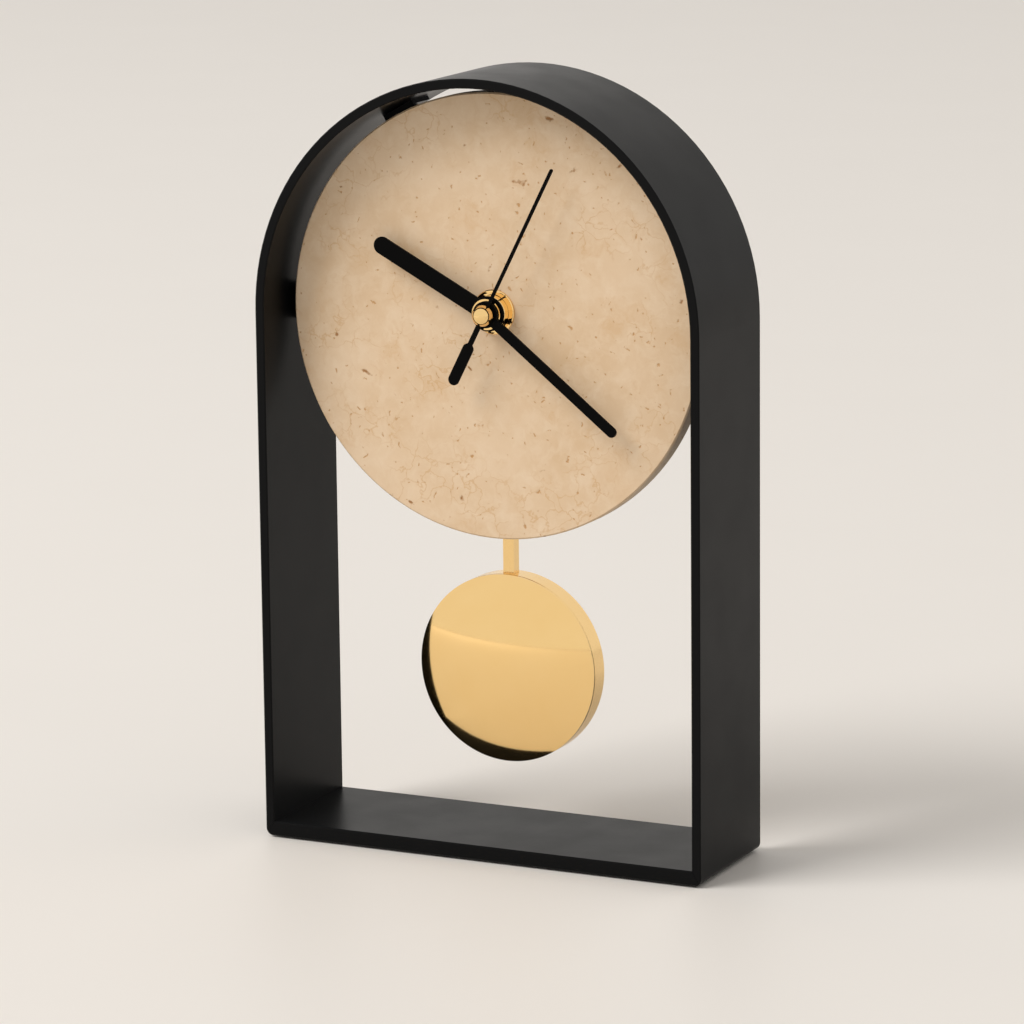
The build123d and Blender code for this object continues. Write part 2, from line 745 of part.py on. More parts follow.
knob_front = case_back + knob_gap
knob_back = knob_front + knob_length
with BuildPart() as motion_wheel:
    gear(cannon_teeth, True, motion_module, *level(1), motion_axis, motion_phase)
    gear(motion_teeth, False, motion_module, level(0)[0], level(1)[0], motion_axis, 0.0)
    disc(motion_arbor_radius, arbor_front, knob_back - knob_cap - press_clearance, motion_axis)
motion_wheel.part.label = "motion_wheel"
export_step(motion_wheel.part, "parts/motion_wheel.step")

with BuildPart() as hour_wheel:
    gear(motion_teeth, True, motion_module, *level(0), centre_axis, hour_phase)
    disc(hour_pipe_radius, hour_front, level(0)[0])
    disc(hour_bore, hour_front, level(0)[1], mode=Mode.SUBTRACT)
hour_wheel.part.label = "hour_wheel"
export_step(hour_wheel.part, "parts/hour_wheel.step")

# Fluted knob that sets the hands from the back
with BuildPart() as setting_knob:
    disc(knob_radius, knob_front, knob_back, motion_axis)
    for flute in range(knob_flutes):
        place = polar(knob_radius, 360 * flute / knob_flutes, *motion_axis)
        disc(flute_radius, knob_front, knob_back, place, Mode.SUBTRACT)
    disc(motion_arbor_radius + press_clearance, knob_front, knob_back - knob_cap, motion_axis, Mode.SUBTRACT)
setting_knob.part.label = "setting_knob"
export_step(setting_knob.part, "parts/setting_knob.step")


def straight_hand(length, width, eye_radius, bore, front, back, clockwise):
    """Add a flat hand with a round eye and a rounded tip."""
    with BuildSketch(upright(back, *centre_axis, clockwise)) as outline:
        Circle(eye_radius)
        with Locations((0, (length - width / 2) / 2)):
            Rectangle(width, length - width / 2)
        with Locations((0, length - width / 2)):
            Circle(width / 2)
        Circle(bore, mode=Mode.SUBTRACT)
    extrude(outline.sketch, amount=back - front, dir=FORWARD)


with BuildPart() as hour_hand:
    straight_hand(hour_hand_length, hour_hand_width, hour_eye_radius, hour_pipe_radius + press_clearance,
                  hour_front, hour_back, hour_angle)
hour_hand.part.label = "hour_hand"
export_step(hour_hand.part, "parts/hour_hand.step")

with BuildPart() as minute_hand:
    straight_hand(minute_hand_length, minute_hand_width, minute_eye_radius,
                  minute_pipe_radius + press_clearance, minute_front, collet_front, minute_angle)
minute_hand.part.label = "minute_hand"
export_step(minute_hand.part, "parts/minute_hand.step")

# Brass collet behind the minute hand
with BuildPart() as minute_collet:
    disc(collet_radius, collet_front, collet_back)
    disc(minute_pipe_radius + press_clearance, collet_front, collet_back, mode=Mode.SUBTRACT)
minute_collet.part.label = "minute_collet"
export_step(minute_collet.part, "parts/minute_collet.step")

# Second hand with its counterweight tail
tail_half = second_tail_width / 2
with BuildPart() as second_hand:
    straight_hand(second_hand_length, second_hand_width, second_eye_radius, arbor_radius + press_clearance,
                  second_front, second_back, second_angle)
    with BuildSketch(upright(second_back, *centre_axis, second_angle + 180)) as outline:
        with Locations((0, (second_tail_start + tail_half) / 2)):
            Rectangle(second_neck_width, second_tail_start + tail_half)
        for reach in (second_tail_start + tail_half, second_tail_end - tail_half):
            with Locations((0, reach)):
                Circle(tail_half)
        with Locations((0, (second_tail_start + second_tail_end) / 2)):
            Rectangle(second_tail_width, second_tail_end - second_tail_start - second_tail_width)
        Circle(arbor_radius + press_clearance, mode=Mode.SUBTRACT)
    extrude(outline.sketch, amount=second_back - second_front, dir=FORWARD)
second_hand.part.label = "second_hand"
export_step(second_hand.part, "parts/second_hand.step")


def dome_sphere(radius, rise):
    """Return the radius of the sphere whose cap has this radius and rise."""
    return (radius**2 + rise**2) / (2 * rise)


def on_sphere(sphere, centre, radius):
    """Return the point on the front of a sphere at a radius from the axis."""
    return radius, centre - math.sqrt(sphere**2 - radius**2)


# Domed cap on the end of the second arbor
cap_rim = second_front - cap_skirt
cap_front = cap_rim - cap_dome
cap_sphere = dome_sphere(cap_radius, cap_dome)
with BuildPart() as hand_cap:
    with BuildSketch(Plane(origin=(0, 0, axis_z), x_dir=(1, 0, 0), z_dir=(0, 0, 1))) as outline:
        with BuildLine():
            Polyline((0, cap_front), (0, second_front), (cap_radius, second_front), (cap_radius, cap_rim))
            ThreePointArc(
                (cap_radius, cap_rim),
                on_sphere(cap_sphere, cap_front + cap_sphere, cap_radius / 2),
                (0, cap_front),
            )
        make_face()
    revolve(outline.sketch, axis=Axis((0, 0, axis_z), (0, 1, 0)))
    disc(arbor_radius + press_clearance, second_front - cap_bore_depth, second_front, mode=Mode.SUBTRACT)
hand_cap.part.label = "hand_cap"
export_step(hand_cap.part, "parts/hand_cap.step")

# Pendulum arm: it swings inside the case and leaves through the slot
with BuildPart() as pendulum_arm:
    with BuildSketch(upright(arm_back)) as outline:
        with Locations((0, pivot_z)):
            Circle(arm_head_radius)
        with Locations((0, (pivot_z + hook_z) / 2)):
            Rectangle(arm_width, pivot_z - hook_z)
        with Locations((0, hook_z)):
            Circle(arm_width / 2)
        with Locations((0, pivot_z)):
            Circle(pivot_radius + fit_clearance, mode=Mode.SUBTRACT)
        with Locations((0, hook_z)):
            Circle(hook_radius + press_clearance, mode=Mode.SUBTRACT)
    extrude(outline.sketch, amount=arm_thickness, dir=FORWARD)
pendulum_arm.part.label = "pendulum_arm"
export_step(pendulum_arm.part, "parts/pendulum_arm.step")

with BuildPart() as pivot_pin:
    disc(pivot_radius, arbor_front, pin_back - fit_clearance, pivot_axis)
pivot_pin.part.label = "pivot_pin"
export_step(pivot_pin.part, "parts/pivot_pin.step")

hook_axis = (0.0, hook_z)
with BuildPart() as hook_pin:
    disc(hook_radius, rod_front, arm_back, hook_axis)
hook_pin.part.label = "hook_pin"
export_step(hook_pin.part, "parts/hook_pin.step")

# Magnet on the arm, and the coil that drives it
with BuildPart() as arm_magnet:
    disc(arm_magnet_radius, arm_back, arm_back + arm_magnet_thickness, magnet_axis)
arm_magnet.part.label = "arm_magnet"
export_step(arm_magnet.part, "parts/arm_magnet.step")

with BuildPart() as drive_coil:
    disc(drive_coil_radius, coil_front, coil_front + drive_coil_length, magnet_axis)
    disc(drive_coil_bore, coil_front, coil_front + drive_coil_length, magnet_axis, Mode.SUBTRACT)
drive_coil.part.label = "drive_coil"
export_step(drive_coil.part, "parts/drive_coil.step")

# Flat rod: thinned at the top to hang on the hook, screwed into the bob below
lap_back = arm_front - fit_clearance
lap_bottom = hook_z - arm_width / 2 - rod_lap_gap
rod_top = hook_z + rod_width / 2
screw_places = [(0.0, rod_bottom + (i + 0.5) * rod_screw_spacing) for i in range(2)]
with BuildPart() as pendulum_rod:
    block((-rod_width / 2, rod_width / 2), (rod_front, rod_back), (rod_bottom, lap_bottom))
    block((-rod_width / 2, rod_width / 2), (rod_front, lap_back), (lap_bottom, rod_top))
    disc(hook_radius + press_clearance, rod_front, lap_back, hook_axis, Mode.SUBTRACT)
    for place in screw_places:
        disc(rod_screw_radius + fit_clearance, rod_front, rod_back, place, Mode.SUBTRACT)
pendulum_rod.part.label = "pendulum_rod"
export_step(pendulum_rod.part, "parts/pendulum_rod.step")

# Bob: a band with a slot for the rod, a weight inside, a back plate and a domed face
rod_slot = rod_width / 2 + fit_clearance
bob_axis = (0.0, bob_z)
with BuildPart() as bob_band:
    disc(bob_radius, band_front, band_back, bob_axis)
    chamfer(bob_band.edges().filter_by(GeomType.CIRCLE), edge_break / 2)
    disc(bob_inner, band_front, band_back, bob_axis, Mode.SUBTRACT)
    block((-rod_slot, rod_slot), (rod_front - fit_clearance, rod_back + fit_clearance),
          (bob_z, bob_z + bob_radius), Mode.SUBTRACT)
bob_band.part.label = "bob_band"
export_step(bob_band.part, "parts/bob_band.step")

screw_seat = rod_front - rod_screw_head_height
with BuildPart() as bob_weight:
    disc(bob_inner - fit_clearance, screw_seat, weight_back, bob_axis)
    block((-rod_slot, rod_slot), (screw_seat, rod_back + fit_clearance),
          (rod_bottom - fit_clearance, bob_z + bob_radius), Mode.SUBTRACT)
    for place in screw_places:
        disc(rod_screw_radius + press_clearance, rod_back, weight_back, place, Mode.SUBTRACT)
bob_weight.part.label = "bob_weight"
export_step(bob_weight.part, "parts/bob_weight.step")

with BuildPart() as rod_screws:
    for place in screw_places:
        disc(rod_screw_head_radius, screw_seat, rod_front, place)
        disc(rod_screw_radius, rod_front, weight_back, place)
rod_screws.part.label = "rod_screws"
export_step(rod_screws.part, "parts/rod_screws.step")

with BuildPart() as bob_back:
    disc(bob_inner - fit_clearance, weight_back, weight_back + bob_back_thickness, bob_axis)
bob_back.part.label = "bob_back"
export_step(bob_back.part, "parts/bob_back.step")

seat_radius = bob_radius - bob_groove_depth
hollow_radius = bob_inner - bob_face_wall
bob_sphere = dome_sphere(bob_radius, bob_dome)
bob_centre = face_front + bob_sphere
hollow_sphere = bob_sphere - bob_face_wall
with BuildPart() as bob_face:
    with BuildSketch(Plane(origin=(0, 0, bob_z), x_dir=(1, 0, 0), z_dir=(0, 0, 1))) as outline:
        with BuildLine():
            Line((0, face_front + bob_face_wall), (0, face_front))
            ThreePointArc(
                (0, face_front),
                on_sphere(bob_sphere, bob_centre, bob_radius / 2),
                (bob_radius, face_rim),
            )
            Polyline(
                (bob_radius, face_rim),
                (bob_radius, face_step),
                (seat_radius, face_step),
                (seat_radius, band_front),
                (hollow_radius, band_front),
                on_sphere(hollow_sphere, bob_centre, hollow_radius),
            )
            ThreePointArc(
                on_sphere(hollow_sphere, bob_centre, hollow_radius),
                on_sphere(hollow_sphere, bob_centre, hollow_radius / 2),
                (0, face_front + bob_face_wall),
            )
        make_face()
    revolve(outline.sketch, axis=Axis((0, 0, bob_z), (0, 1, 0)))
bob_face.part.label = "bob_face"
export_step(bob_face.part, "parts/bob_face.step")
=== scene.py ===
# %% [markdown]
# # A desk pendulum clock
# This lesson dresses a desk clock: a black arched frame, a travertine dial, plain black hands and a
# polished brass bob that swings under the dial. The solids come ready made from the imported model.
# They give every size and place, so the work here is finish, smooth meshes where a mirror polish
# would show facets, light and camera.

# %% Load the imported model
import math
import bmesh
import bpy
from mathutils import Matrix, Vector


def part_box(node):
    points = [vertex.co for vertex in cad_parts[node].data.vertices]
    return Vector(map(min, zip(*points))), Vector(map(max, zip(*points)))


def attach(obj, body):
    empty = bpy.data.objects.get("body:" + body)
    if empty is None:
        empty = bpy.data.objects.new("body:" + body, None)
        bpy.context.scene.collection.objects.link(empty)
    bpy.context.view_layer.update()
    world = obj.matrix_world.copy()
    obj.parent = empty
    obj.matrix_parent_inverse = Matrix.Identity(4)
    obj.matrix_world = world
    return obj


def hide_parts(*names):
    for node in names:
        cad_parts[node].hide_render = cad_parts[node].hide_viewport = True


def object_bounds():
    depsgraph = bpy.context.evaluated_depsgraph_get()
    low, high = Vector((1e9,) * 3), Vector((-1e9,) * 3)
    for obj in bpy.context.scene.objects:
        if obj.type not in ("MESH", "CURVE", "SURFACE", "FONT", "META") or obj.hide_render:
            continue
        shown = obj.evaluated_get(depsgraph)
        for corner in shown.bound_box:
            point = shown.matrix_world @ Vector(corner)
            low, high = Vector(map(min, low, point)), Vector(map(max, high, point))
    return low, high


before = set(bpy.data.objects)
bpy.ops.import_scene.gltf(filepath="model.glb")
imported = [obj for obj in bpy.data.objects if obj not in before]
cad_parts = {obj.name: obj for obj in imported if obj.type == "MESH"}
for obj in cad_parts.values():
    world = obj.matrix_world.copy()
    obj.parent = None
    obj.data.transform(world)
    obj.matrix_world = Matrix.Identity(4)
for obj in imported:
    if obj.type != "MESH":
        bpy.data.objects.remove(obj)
cad_low, cad_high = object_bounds()
MM = 0.001
print("nodes", len(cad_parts), "box", [round(v, 4) for v in cad_high - cad_low])

# %% [markdown]
# ## A small kit for shader nodes
# Every finish below is a little network of nodes. Two helpers keep those networks readable: one
# adds a node and fills its inputs, the other starts a material with its Principled shader.
# Coordinates come from the object, in metres, because each solid sits at the origin: a noise of
# scale 100 then has grains of about a centimetre.

# %% Node helpers


def add_node(tree, kind, inputs=None, **settings):
    """Add a node, set its options, and fill inputs with values or with links from sockets."""
    made = tree.nodes.new(kind)
    for key, value in settings.items():
        setattr(made, key, value)
    for key, value in (inputs or {}).items():
        if isinstance(value, bpy.types.NodeSocket):
            tree.links.new(value, made.inputs[key])
        else:
            made.inputs[key].default_value = value
    return made


def new_finish(name):
    """Return a material, its node tree, its Principled shader and the object coordinates."""
    material = bpy.data.materials.new(name)
    material.use_nodes = True
    tree = material.node_tree
    shader = tree.nodes["Principled BSDF"]
    place = tree.nodes.new("ShaderNodeTexCoord").outputs["Object"]
    return material, tree, shader, place


def noise(tree, place, scale, detail=3.0, roughness=0.5):
    """Return the grey output of a noise texture."""
    values = {"Vector": place, "Scale": scale, "Detail": detail, "Roughness": roughness}
    return add_node(tree, "ShaderNodeTexNoise", values).outputs["Fac"]


def remap(tree, value, low, high, to_low=0.0, to_high=1.0):
    """Stretch a value from one range to another, clamped."""
    values = {"Value": value, "From Min": low, "From Max": high, "To Min": to_low, "To Max": to_high}
    return add_node(tree, "ShaderNodeMapRange", values).outputs["Result"]


def mix_colour(tree, factor, first, second):
    """Blend two colours by a factor."""
    blend = add_node(tree, "ShaderNodeMix", {0: factor, 6: first, 7: second}, data_type="RGBA")
    return blend.outputs[2]


def multiply(tree, first, second):
    """Multiply two grey values."""
    return add_node(tree, "ShaderNodeMath", {0: first, 1: second}, operation="MULTIPLY").outputs[0]


def bump(tree, shader, height, strength, distance):
    """Raise the surface by a grey height."""
    values = {"Height": height, "Strength": strength, "Distance": distance}
    made = add_node(tree, "ShaderNodeBump", values)
    tree.links.new(made.outputs["Normal"], shader.inputs["Normal"])


# %% [markdown]
# ## Powder-coated black
# The frame is coated metal. A powder coat isn't flat paint: it has a very fine grain that breaks up
# reflections, and its gloss drifts a little. So the colour is nearly black, the roughness moves
# with a soft noise, and a fine noise gives the grain as bump.

# %% Black coat


def coated_black(name, colour, roughness, grain, gloss):
    """Make a dark coating with a fine grain."""
    material, tree, shader, place = new_finish(name)
    cloud = noise(tree, place, 60.0)
    darker = [0.85 * part for part in colour] + [1]
    lighter = [1.15 * part for part in colour] + [1]
    tint = mix_colour(tree, cloud, darker, lighter)
    tree.links.new(tint, shader.inputs["Base Color"])
    spread = remap(tree, cloud, 0.3, 0.7, roughness - 0.03, roughness + 0.03)
    tree.links.new(spread, shader.inputs["Roughness"])
    shader.inputs["Specular IOR Level"].default_value = gloss
    bump(tree, shader, noise(tree, place, 2600.0, 2.0), grain, 0.0001)
    return material


frame_black = coated_black("frame_black", (0.0032, 0.0034, 0.0038), 0.34, 0.22, 0.09)
hand_black = coated_black("hand_black", (0.0012, 0.0012, 0.0013), 0.60, 0.10, 0.06)
case_black = coated_black("case_black", (0.012, 0.012, 0.013), 0.55, 0.35, 0.4)
rubber_black = coated_black("rubber_black", (0.010, 0.010, 0.010), 0.85, 0.5, 0.3)
print("black coats made")

# %% [markdown]
# ## Travertine
# The dial is a honed slab of beige travertine: warm clouds, fine mottling, hairline veins and many
# small ochre pits, with a few larger brown ones. Each of those is one layer of noise or cells, laid
# over the last by a mask. The pits also sink as bump, so light catches their rims.

# %% Stone


def speckles(tree, place, scale, radius, share):
    """Return a mask of round spots: the middles of some of a texture's random cells."""
    cells = add_node(tree, "ShaderNodeTexVoronoi", {"Vector": place, "Scale": scale})
    spot = remap(tree, cells.outputs["Distance"], radius * 0.45, radius, 1.0, 0.0)
    chance = add_node(tree, "ShaderNodeSeparateColor", {0: cells.outputs["Color"]}).outputs[0]
    chosen = add_node(tree, "ShaderNodeMath", {0: chance, 1: 1 - share}, operation="GREATER_THAN")
    return multiply(tree, spot, chosen.outputs[0])


def travertine():
    """Make the beige stone of the dial."""
    material, tree, shader, place = new_finish("dial_stone")
    wander = add_node(tree, "ShaderNodeTexNoise", {"Vector": place, "Scale": 140.0, "Detail": 4.0})
    push = add_node(tree, "ShaderNodeVectorMath", {0: wander.outputs["Color"], 1: (0.5, 0.5, 0.5)},
                    operation="SUBTRACT")
    push = add_node(tree, "ShaderNodeVectorMath", {0: push.outputs[0], "Scale": 0.012}, operation="SCALE")
    moved = add_node(tree, "ShaderNodeVectorMath", {0: place, 1: push.outputs[0]}, operation="ADD")
    warped = moved.outputs[0]
    cloud = remap(tree, noise(tree, place, 26.0, 5.0, 0.6), 0.32, 0.68)
    colour = mix_colour(tree, cloud, (0.70, 0.495, 0.300, 1), (0.795, 0.605, 0.415, 1))
    mottle = remap(tree, noise(tree, warped, 170.0, 6.0, 0.65), 0.42, 0.72, 0.0, 0.55)
    colour = mix_colour(tree, mottle, colour, (0.845, 0.680, 0.500, 1))
    stain = remap(tree, noise(tree, warped, 75.0, 5.0, 0.7), 0.56, 0.74, 0.0, 0.5)
    colour = mix_colour(tree, stain, colour, (0.66, 0.415, 0.205, 1))
    cells = add_node(tree, "ShaderNodeTexVoronoi", {"Vector": warped, "Scale": 115.0},
                     feature="DISTANCE_TO_EDGE")
    vein = remap(tree, cells.outputs["Distance"], 0.0, 0.035, 1.0, 0.0)
    patch = remap(tree, noise(tree, place, 48.0, 2.0), 0.48, 0.62, 0.0, 0.5)
    colour = mix_colour(tree, multiply(tree, vein, patch), colour, (0.60, 0.345, 0.135, 1))
    fine = speckles(tree, warped, 420.0, 0.22, 0.35)
    colour = mix_colour(tree, multiply(tree, fine, 0.75), colour, (0.50, 0.245, 0.075, 1))
    large = speckles(tree, warped, 105.0, 0.13, 0.22)
    colour = mix_colour(tree, multiply(tree, large, 0.9), colour, (0.33, 0.145, 0.040, 1))
    tree.links.new(colour, shader.inputs["Base Color"])
    pits = add_node(tree, "ShaderNodeMath", {0: fine, 1: large}, operation="MAXIMUM").outputs[0]
    tree.links.new(remap(tree, pits, 0.0, 1.0, 0.52, 0.8), shader.inputs["Roughness"])
    shader.inputs["Specular IOR Level"].default_value = 0.35
    height = remap(tree, pits, 0.0, 1.0, 1.0, 0.0)
    bump(tree, shader, height, 0.35, 0.0004)
    return material


dial_stone = travertine()
print("stone made")

# %% [markdown]
# ## Brass
# Two brasses: the bob's face, the nut and the cap are polished like a mirror, while the rod, the
# bob's band and its back carry fine brush lines. Polished brass keeps a very slight haze that
# drifts, or it looks like plastic film. Brush lines are noise stretched along one axis, used for
# roughness and bump.

# %% Brass finishes


def brass(name, roughness, brush=None):
    """Make brass; brush gives the noise scale along each axis for fine lines."""
    material, tree, shader, place = new_finish(name)
    haze = noise(tree, place, 90.0, 3.0)
    tint = mix_colour(tree, haze, (0.93, 0.635, 0.270, 1), (0.96, 0.675, 0.310, 1))
    tree.links.new(tint, shader.inputs["Base Color"])
    shader.inputs["Metallic"].default_value = 1.0
    spread = remap(tree, haze, 0.3, 0.7, roughness * 0.85, roughness * 1.15)
    if brush:
        stretched = add_node(tree, "ShaderNodeVectorMath", {0: place, 1: brush}, operation="MULTIPLY")
        lines = noise(tree, stretched.outputs[0], 1.0, 3.0)
        spread = remap(tree, lines, 0.3, 0.7, roughness * 0.7, roughness * 1.4)
        bump(tree, shader, lines, 0.12, 0.00005)
    tree.links.new(spread, shader.inputs["Roughness"])
    return material


polished_brass = brass("polished_brass", 0.07)
rod_brass = brass("rod_brass", 0.20, (6000.0, 6000.0, 90.0))
band_brass = brass("band_brass", 0.20, (300.0, 6000.0, 300.0))
print("brass made")

# %% [markdown]
# ## Hidden finishes
# Behind the dial are a plastic movement, a battery, steel brackets and screws. They get simple but
# real finishes: zinc with a faint spangle, moulded plastic, enamelled copper, and a plain two-tone
# battery sleeve.

# %% Metals and plastics behind the dial


def plain(name, low, high, roughness, scale, metallic=0.0):
    """Make a finish whose colour and gloss drift between two shades."""
    material, tree, shader, place = new_finish(name)
    drift = noise(tree, place, scale, 4.0)
    tree.links.new(mix_colour(tree, drift, (*low, 1), (*high, 1)), shader.inputs["Base Color"])
    shader.inputs["Metallic"].default_value = metallic
    spread = remap(tree, drift, 0.3, 0.7, roughness * 0.8, roughness * 1.2)
    tree.links.new(spread, shader.inputs["Roughness"])
    bump(tree, shader, drift, 0.08, 0.0001)
    return material


zinc_steel = plain("zinc_steel", (0.55, 0.56, 0.58), (0.68, 0.69, 0.70), 0.32, 300.0, 1.0)
nickel = plain("contact_nickel", (0.62, 0.61, 0.58), (0.74, 0.73, 0.70), 0.22, 200.0, 1.0)
gear_white = plain("gear_white", (0.74, 0.71, 0.63), (0.82, 0.79, 0.72), 0.45, 400.0)
board_green = plain("board_green", (0.03, 0.16, 0.06), (0.05, 0.23, 0.09), 0.3, 600.0)
copper = plain("coil_copper", (0.55, 0.22, 0.09), (0.70, 0.33, 0.15), 0.35, 1500.0, 1.0)
magnet_grey = plain("magnet_grey", (0.13, 0.13, 0.14), (0.22, 0.22, 0.23), 0.5, 500.0, 0.6)
iron_grey = plain("weight_iron", (0.12, 0.12, 0.12), (0.20, 0.19, 0.18), 0.7, 250.0, 0.5)


def battery_sleeve():
    """Make a battery's printed sleeve: a dark body and a copper-coloured end."""
    material, tree, shader, place = new_finish("battery_skin")
    low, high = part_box("battery")
    along = add_node(tree, "ShaderNodeSeparateXYZ", {0: place}).outputs["X"]
    border = low.x + 0.7 * (high.x - low.x)
    end = remap(tree, along, border - 0.1 * MM, border + 0.1 * MM)
    scuff = noise(tree, place, 500.0, 4.0)
    body = mix_colour(tree, scuff, (0.035, 0.036, 0.040, 1), (0.050, 0.051, 0.055, 1))
    tip = mix_colour(tree, scuff, (0.50, 0.26, 0.11, 1), (0.60, 0.33, 0.15, 1))
    tree.links.new(mix_colour(tree, end, body, tip), shader.inputs["Base Color"])
    shader.inputs["Metallic"].default_value = 0.6
    tree.links.new(remap(tree, scuff, 0.3, 0.7, 0.24, 0.34), shader.inputs["Roughness"])
    return material


battery_skin = battery_sleeve()
print("hidden finishes made")

# %% [markdown]
# ## Dressing the solids
# Each solid keeps its own mesh and takes one finish. A table from finish to solids is easier to
# read and to change than forty single lines, and the count that is printed shows if one was
# forgotten.

# %% Give each solid its finish
finishes = {
    frame_black: ["arch_band", "base_plate", "dial_brackets", "weld_studs", "stud_nuts"],
    rubber_black: ["base_pads", "movement_gasket"],
    dial_stone: ["stone_dial"],
    polished_brass: ["dial_inserts", "centre_bushing", "dial_washer", "dial_nut", "minute_pipe",
                     "minute_collet", "hand_cap", "bob_face"],
    rod_brass: ["pendulum_rod"],
    band_brass: ["bob_band", "bob_back"],
    hand_black: ["hour_hand", "minute_hand", "second_hand"],
    case_black: ["front_case", "rear_case", "setting_knob", "pendulum_arm"],
    zinc_steel: ["bracket_screws", "motor_stator", "motor_core", "pivot_pin", "hook_pin",
                 "rod_screws"],
    nickel: ["positive_contact", "negative_contact", "quartz_crystal"],
    gear_white: ["step_wheel", "second_wheel", "third_wheel", "centre_wheel", "motion_wheel",
                 "hour_wheel"],
    board_green: ["circuit_board"],
    copper: ["motor_coil", "drive_coil"],
    magnet_grey: ["motor_rotor", "arm_magnet"],
    iron_grey: ["bob_weight"],
    battery_skin: ["battery"],
}
for finish, names in finishes.items():
    for name in names:
        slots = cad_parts[name].data.materials
        slots.clear()
        slots.append(finish)
print("finished solids", sum(len(names) for names in finishes.values()))

# %% [markdown]
# ## Smooth turned pieces
# The bob's face and the hub's cap are turned and polished, and a mirror shows every flat of a
# coarse mesh. Here each is made again as a lathe form: a profile of radius and depth, swept round
# the clock's front-to-back axis in fine steps. Its sizes come from the box of the solid that it
# replaces.

# %% Turned meshes
LATHE_STEPS = 192
SHARP_EDGE = math.radians(28)


def shade_smooth(mesh):
    """Shade a mesh smooth, but keep its real corners sharp."""
    mesh.polygons.foreach_set("use_smooth", [True] * len(mesh.polygons))
    mesh.set_sharp_from_angle(angle=SHARP_EDGE)


def turned(name, profile, centre_x, centre_z, finish):
    """Sweep (radius, y) points round the y axis at a centre."""
    shape = bmesh.new()
    rings = []
    for radius, depth in profile:
        count = LATHE_STEPS if radius > 1e-7 else 1
        turn = [2 * math.pi * i / count for i in range(count)]
        places = [(centre_x + radius * math.cos(a), depth, centre_z + radius * math.sin(a)) for a in turn]
        rings.append([shape.verts.new(spot) for spot in places])
    for first, second in zip(rings, rings[1:]):
        for i in range(LATHE_STEPS):
            j = (i + 1) % LATHE_STEPS
            corners = [first[i % len(first)], first[j % len(first)]]
            corners += [second[j % len(second)], second[i % len(second)]]
            shape.faces.new(list(dict.fromkeys(corners)))
    bmesh.ops.recalc_face_normals(shape, faces=shape.faces)
    mesh = bpy.data.meshes.new(name)
    shape.to_mesh(mesh)
    shape.free()
    shade_smooth(mesh)
    mesh.materials.append(finish)
    piece = bpy.data.objects.new(name, mesh)
    bpy.context.scene.collection.objects.link(piece)
    print(name, "faces", len(mesh.polygons))
    return piece


def cap_arc(radius, front, rim, steps):
    """Return points of a spherical cap from its tip to its rim."""
    rise = rim - front
    ball = (radius ** 2 + rise ** 2) / (2 * rise)
    edge = math.asin(min(radius / ball, 1.0))
    if rise > ball:
        edge = math.pi - edge
    return [(ball * math.sin(edge * i / steps), front + ball * (1 - math.cos(edge * i / steps)))
            for i in range(steps + 1)]


# %% [markdown]
# ## The bob's face
# The bob is a shallow dome over a plain band, with a dark groove where they meet. The dome is part
# of a ball, so that reflections bend evenly. The groove is a real step in the profile, because a
# painted line would not catch the light at its edge.

# %% The bob's polished face
BOB_STEPS = 64
INNER_LIP = 0.93
low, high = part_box("bob_face")
bob_radius = (high.z - low.z) / 2
bob_x = (low.x + high.x) / 2
bob_z = (low.z + high.z) / 2
rim_depth = 0.9 * MM
groove_width = 0.4 * MM
groove_depth = 0.6 * MM
seat = bob_radius - groove_depth
face_profile = cap_arc(bob_radius, low.y, high.y - rim_depth, BOB_STEPS)
face_profile += [(bob_radius, high.y - groove_width), (seat, high.y - groove_width), (seat, high.y)]
face_profile += [(INNER_LIP * bob_radius, high.y)]
bob_mirror = turned("bob_mirror", face_profile, bob_x, bob_z, polished_brass)
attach(bob_mirror, "pendulum")
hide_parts("bob_face")

# %% [markdown]
# ## The hub's cap
# A small polished button closes the pipe of the second hand. It is nearly half a ball on a short
# cylinder, and it turns with the second hand, so it rides on that body.

# %% The hub's cap
CAP_STEPS = 32
low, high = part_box("hand_cap")
cap_radius = (high.x - low.x) / 2
cap_rise = 2.8 * MM
cap_profile = cap_arc(cap_radius, low.y, low.y + cap_rise, CAP_STEPS)
cap_profile += [(cap_radius, high.y), (0.0, high.y)]
hub_cap = turned("hub_cap", cap_profile, (low.x + high.x) / 2, (low.z + high.z) / 2, polished_brass)
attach(hub_cap, "second")
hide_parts("hand_cap")

# %% [markdown]
# ## The floor
# The clock stands on a wide pale floor under soft studio light: one large soft box from the front
# left, and an even pale room. The floor is wide enough to fill the picture, so that it is floor and
# backdrop in one. Its colour drifts a little, as a painted board does.

# %% Floor
FLOOR_SIZE = 14.0


def floor_finish():
    """Make the pale floor with a barely visible mottling."""
    material, tree, shader, place = new_finish("pale_floor")
    drift = noise(tree, place, 9.0, 3.0)
    shade = mix_colour(tree, drift, (0.86, 0.825, 0.785, 1), (0.875, 0.84, 0.80, 1))
    tree.links.new(shade, shader.inputs["Base Color"])
    shader.inputs["Roughness"].default_value = 0.5
    shader.inputs["Specular IOR Level"].default_value = 0.25
    return material


floor_mesh = bpy.data.meshes.new("floor")
half_floor = FLOOR_SIZE / 2
corners = [(-half_floor, -half_floor, 0), (half_floor, -half_floor, 0),
           (half_floor, half_floor, 0), (-half_floor, half_floor, 0)]
floor_mesh.from_pydata(corners, [], [(0, 1, 2, 3)])
floor_mesh.materials.append(floor_finish())
floor = bpy.data.objects.new("floor", floor_mesh)
bpy.context.scene.collection.objects.link(floor)
print("floor", FLOOR_SIZE, "m wide")

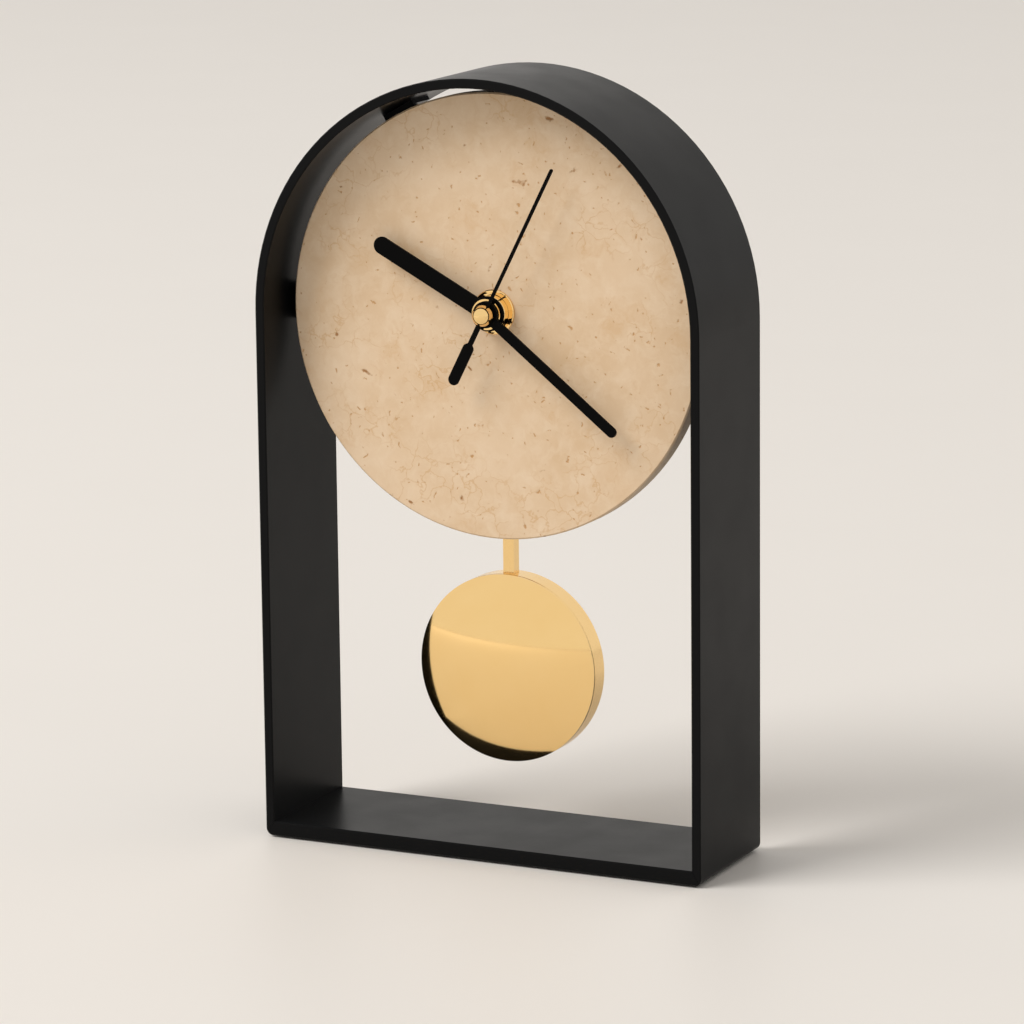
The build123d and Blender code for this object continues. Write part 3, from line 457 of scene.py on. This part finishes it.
# %% [markdown]
# ## The room
# The world gives the even light of a white studio. It is brighter to the camera and to reflections
# than to the surfaces it lights, so the lamp still makes a soft shadow while the brass stays
# bright. The lamp is hidden from reflections, where its square shape would show on the bob.

# %% Room and lamps
scene = bpy.context.scene
scene.view_settings.view_transform = "Standard"
room = bpy.data.worlds.new("room")
room.use_nodes = True
scene.world = room
room_tree = room.node_tree
seen = room_tree.nodes.new("ShaderNodeLightPath")
either = add_node(room_tree, "ShaderNodeMath",
                  {0: seen.outputs["Is Camera Ray"], 1: seen.outputs["Is Glossy Ray"]},
                  operation="MAXIMUM")
either = add_node(room_tree, "ShaderNodeMath",
                  {0: either.outputs[0], 1: seen.outputs["Is Transmission Ray"]}, operation="MAXIMUM")
room_strength = remap(room_tree, either.outputs[0], 0.0, 1.0, 0.57, 0.97)
backdrop = room_tree.nodes["Background"]
backdrop.inputs["Color"].default_value = (0.93, 0.90, 0.86, 1)
room_tree.links.new(room_strength, backdrop.inputs["Strength"])


def soft_box(name, place, target, size, watts, tint):
    """Hang a square area lamp at a place and point it at a target."""
    lamp = bpy.data.lights.new(name, "AREA")
    lamp.size = size
    lamp.energy = watts
    lamp.color = tint
    holder = bpy.data.objects.new(name, lamp)
    holder.location = place
    holder.rotation_euler = (Vector(target) - Vector(place)).to_track_quat("-Z", "Y").to_euler()
    holder.visible_glossy = False
    scene.collection.objects.link(holder)
    return holder


middle = (cad_low + cad_high) / 2
soft_box("key", (-3.0, -3.2, 4.6), middle, 3.4, 255.0, (1.0, 0.98, 0.955))
print("lamps hung")

# %% [markdown]
# ## Camera
# The photograph was taken from the right and a little above with a long lens, so that the verticals
# stay nearly parallel. The place and angles below were fitted to the frame's corners in the
# photograph.

# %% Camera
CAMERA_PLACE = Vector((693.7, -1428.2, 443.7)) * MM
CAMERA_YAW = math.radians(-25.858)
CAMERA_PITCH = math.radians(-11.745)
CAMERA_ROLL = math.radians(-0.634)
LENS_MM = 172.41
level_reach = math.cos(CAMERA_PITCH)
forward = Vector((math.sin(CAMERA_YAW) * level_reach, math.cos(CAMERA_YAW) * level_reach,
                  math.sin(CAMERA_PITCH)))
level_right = Vector((math.cos(CAMERA_YAW), -math.sin(CAMERA_YAW), 0.0))
level_up = level_right.cross(forward)
right = level_right * math.cos(CAMERA_ROLL) + level_up * math.sin(CAMERA_ROLL)
up = level_up * math.cos(CAMERA_ROLL) - level_right * math.sin(CAMERA_ROLL)
lens = bpy.data.cameras.new("camera")
lens.lens = LENS_MM
lens.sensor_width = 36.0
camera = bpy.data.objects.new("camera", lens)
axes = Matrix((right, up, -forward)).transposed()
camera.matrix_world = Matrix.Translation(CAMERA_PLACE) @ axes.to_4x4()
scene.collection.objects.link(camera)
scene.camera = camera
print("camera at", [round(v, 3) for v in CAMERA_PLACE])
